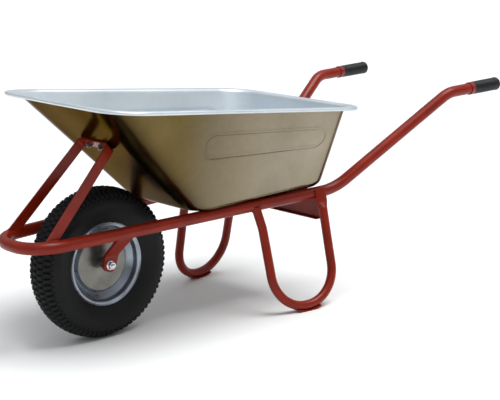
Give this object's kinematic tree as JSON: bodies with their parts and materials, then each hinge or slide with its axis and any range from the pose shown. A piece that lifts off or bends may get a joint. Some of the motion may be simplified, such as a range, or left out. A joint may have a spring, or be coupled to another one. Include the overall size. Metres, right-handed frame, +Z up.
{
  "type": "wheelbarrow",
  "caption": "Single-wheel builder's wheelbarrow: bent tube frame with looped legs, open sheet steel tray, pneumatic wheel and two rubber grips.",
  "frame": {"origin": "on the floor, centre of the bounding box seen from above", "axes": "+X forwards towards the wheel, +Y to the user's left, +Z up"},
  "size_m": [1.5444, 0.5848, 0.64],
  "materials": {
    "red_paint": "satin red-brown powder coat on steel",
    "galvanised_sheet": "bright zinc-coated sheet steel, semi-gloss",
    "zinc_plate": "bright zinc-plated steel fasteners",
    "rim_steel": "silver-grey lacquered pressed steel",
    "tyre_rubber": "black moulded rubber",
    "tube_rubber": "black butyl rubber",
    "grip_rubber": "black soft plastic, matt",
    "collar_plastic": "red moulded plastic",
    "bush_plastic": "black nylon",
    "brass": "machined brass",
    "cap_plastic": "black plastic"
  },
  "bodies": {
    "frame": {"frame_tube": "red_paint", "left_leg": "red_paint", "right_leg": "red_paint", "left_foot_shoe": "red_paint", "right_foot_shoe": "red_paint", "cross_panel": "red_paint", "front_brace": "red_paint", "left_axle_bracket": "red_paint", "right_axle_bracket": "red_paint", "axle_bolt": "zinc_plate", "axle_nut": "zinc_plate", "axle_washers": "zinc_plate", "tray_bolts": "zinc_plate", "tray_washers": "zinc_plate", "tray_nuts": "zinc_plate", "tray": "galvanised_sheet", "rim_wire": "galvanised_sheet", "left_grip": "grip_rubber", "right_grip": "grip_rubber", "left_grip_collar": "collar_plastic", "right_grip_collar": "collar_plastic"},
    "wheel": {"tyre": "tyre_rubber", "inner_tube": "tube_rubber", "left_rim_half": "rim_steel", "right_rim_half": "rim_steel", "hub_tube": "rim_steel", "left_bush": "bush_plastic", "right_bush": "bush_plastic", "valve_stem": "brass", "valve_cap": "cap_plastic"}
  },
  "joints": [
    {"name": "wheel_spin", "type": "hinge", "parent": "frame", "child": "wheel", "pos_m": [0.49797, 0, 0.2], "axis": [0, 1, 0], "continuous": true}
  ]
}
